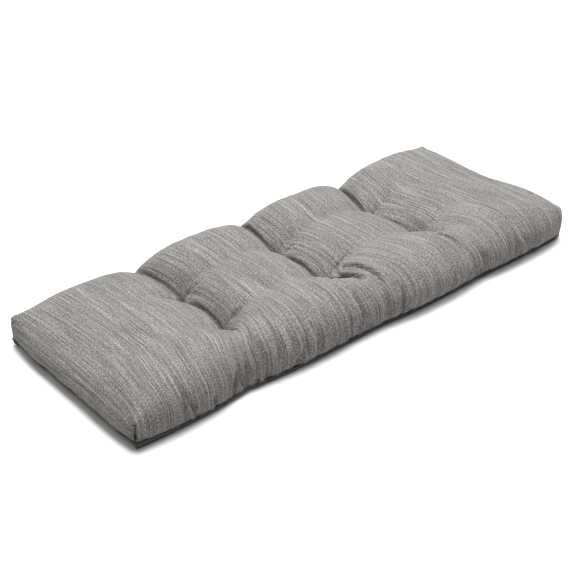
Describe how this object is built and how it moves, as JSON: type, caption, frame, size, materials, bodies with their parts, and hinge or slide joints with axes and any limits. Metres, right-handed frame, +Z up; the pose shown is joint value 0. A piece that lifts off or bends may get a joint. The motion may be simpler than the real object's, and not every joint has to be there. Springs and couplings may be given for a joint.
{
  "type": "bench cushion",
  "caption": "Long, low bench cushion in heathered grey slub cloth, drawn into puffs by rows of tufts, with darted corners and a flat base panel.",
  "frame": {"origin": "middle of the cushion's outer box, on the surface that it rests on", "axes": "+X along the bench to the cushion's right end, +Y from its front to its back, +Z up from the base panel to the tufted face"},
  "size_m": [1.2408, 0.4908, 0.112],
  "materials": {
    "cover_fabric": "matt slub weave, heathered grey with lighter and darker streaks along the short way"
  },
  "bodies": {
    "root": {"cushion_body": "cover_fabric", "base_panel": "cover_fabric"}
  },
  "joints": []
}
